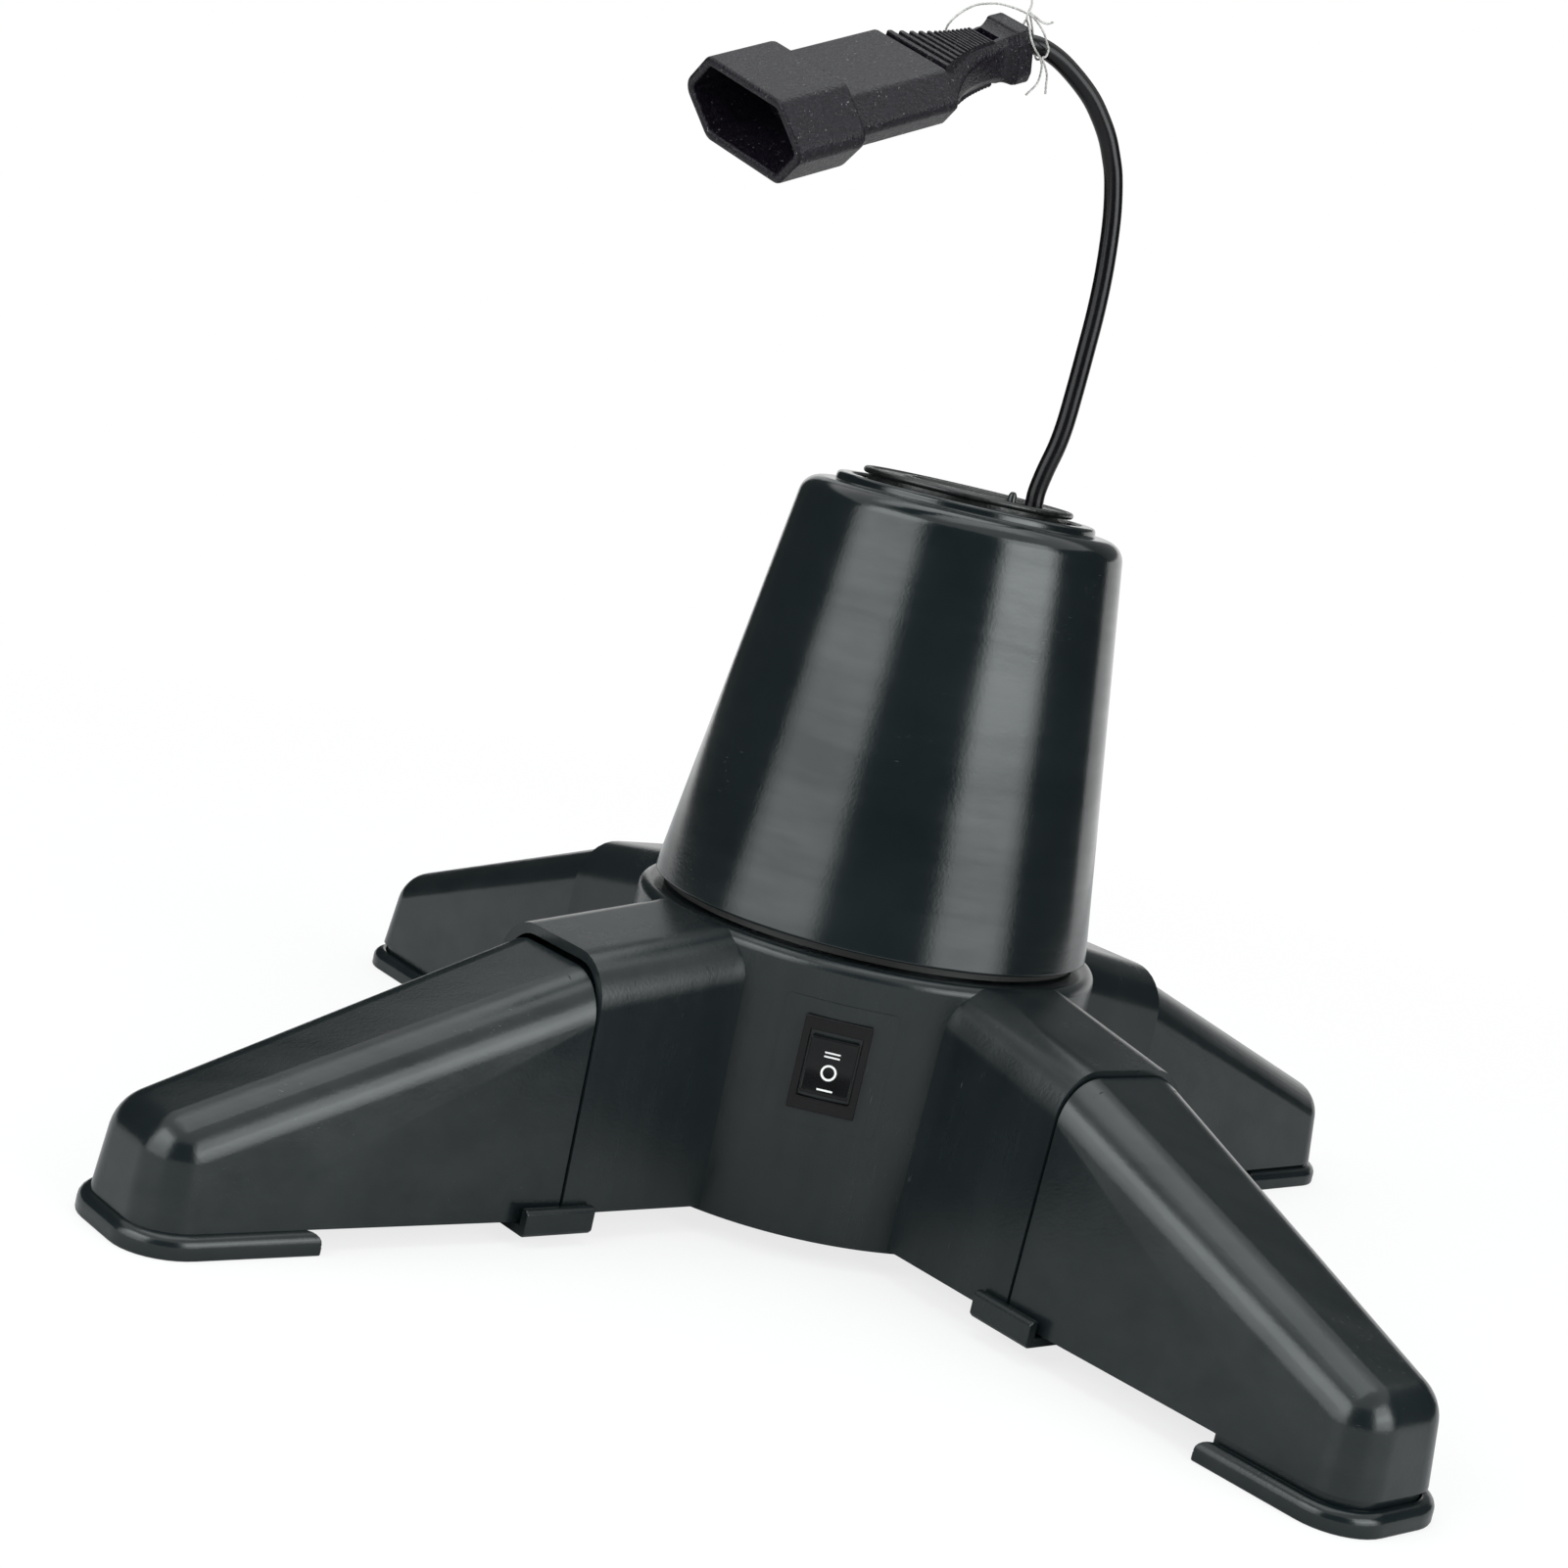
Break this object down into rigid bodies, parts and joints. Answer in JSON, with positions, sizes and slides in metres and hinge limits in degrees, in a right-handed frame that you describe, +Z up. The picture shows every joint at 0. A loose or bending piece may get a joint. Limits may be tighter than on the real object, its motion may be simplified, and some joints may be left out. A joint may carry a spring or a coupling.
{
  "type": "rotating tree stand",
  "caption": "Four-legged dark green stand with a motor-driven tapered drum that holds a tree's pole and carries a lead with a two-pin connector.",
  "frame": {"origin": "centre of the stand on the floor, under the drum's axis", "axes": "+Z up along the drum's axis, the rocker switch faces -Y, the four legs lie on the diagonals"},
  "size_m": [0.2734, 0.2734, 0.2953],
  "materials": {
    "green_plastic": "glossy dark green moulding",
    "black_plastic": "satin black moulding",
    "switch_plastic": "glossy black",
    "connector_plastic": "fine pebble grain",
    "flex_jacket": "smooth",
    "white_nylon": "natural",
    "brown_laminate": "satin",
    "cream_plastic": "satin",
    "zinc_steel": "zinc plated",
    "ball_steel": "polished",
    "contact_brass": "plain",
    "white_thread": "twisted cotton"
  },
  "bodies": {
    "stand": {"hub_housing": "green_plastic", "base_plate": "black_plastic", "base_screws": "zinc_steel", "leg_front_right": "green_plastic", "leg_back_right": "green_plastic", "leg_back_left": "green_plastic", "leg_front_left": "green_plastic", "foot_front_right": "green_plastic", "foot_back_right": "green_plastic", "foot_back_left": "green_plastic", "foot_front_left": "green_plastic", "clip_front_right": "green_plastic", "clip_back_right": "green_plastic", "clip_back_left": "green_plastic", "clip_front_left": "green_plastic", "switch_housing": "switch_plastic", "switch_terminals": "contact_brass", "cord_inlet_bush": "black_plastic", "terminal_block": "cream_plastic", "motor_can": "zinc_steel", "motor_flange": "zinc_steel", "motor_screws": "zinc_steel", "journal_bush": "white_nylon", "lower_race": "zinc_steel", "contact_block": "cream_plastic", "contact_fingers": "contact_brass"},
    "drum": {"turntable": "black_plastic", "turntable_screws": "zinc_steel", "upper_race": "zinc_steel", "main_gear": "white_nylon", "retaining_ring": "zinc_steel", "slip_ring_disc": "brown_laminate", "slip_ring_inner": "contact_brass", "slip_ring_outer": "contact_brass", "drum_shell": "green_plastic", "top_cap": "black_plastic", "pole_tube": "zinc_steel", "inner_flex": "flex_jacket", "lead_flex": "flex_jacket", "connector_body": "connector_plastic", "connector_contacts": "contact_brass", "hanging_thread": "white_thread"},
    "motor_output": {"motor_shaft": "zinc_steel", "motor_pinion": "white_nylon"},
    "ball_set": {"ball_cage": "white_nylon", "bearing_balls": "ball_steel"},
    "rocker": {"switch_rocker": "switch_plastic"}
  },
  "joints": [
    {"name": "drum_spin", "type": "hinge", "parent": "stand", "child": "drum", "pos_m": [0, 0, 0.1], "axis": [0, 0, 1], "continuous": true},
    {"name": "pinion_spin", "type": "hinge", "parent": "stand", "child": "motor_output", "pos_m": [0.0375, 0, 0.05], "axis": [0, 0, 1], "continuous": true},
    {"name": "cage_spin", "type": "hinge", "parent": "stand", "child": "ball_set", "pos_m": [0, 0, 0.0644], "axis": [0, 0, 1], "continuous": true},
    {"name": "rocker_tilt", "type": "hinge", "parent": "stand", "child": "rocker", "pos_m": [0, -0.0526, 0.0448], "axis": [1, 0, 0], "range_deg": [-10, 10]}
  ],
  "couplings": [
    {"joint": "pinion_spin", "follows": "drum_spin", "ratio": -4},
    {"joint": "cage_spin", "follows": "drum_spin", "ratio": 0.5}
  ]
}
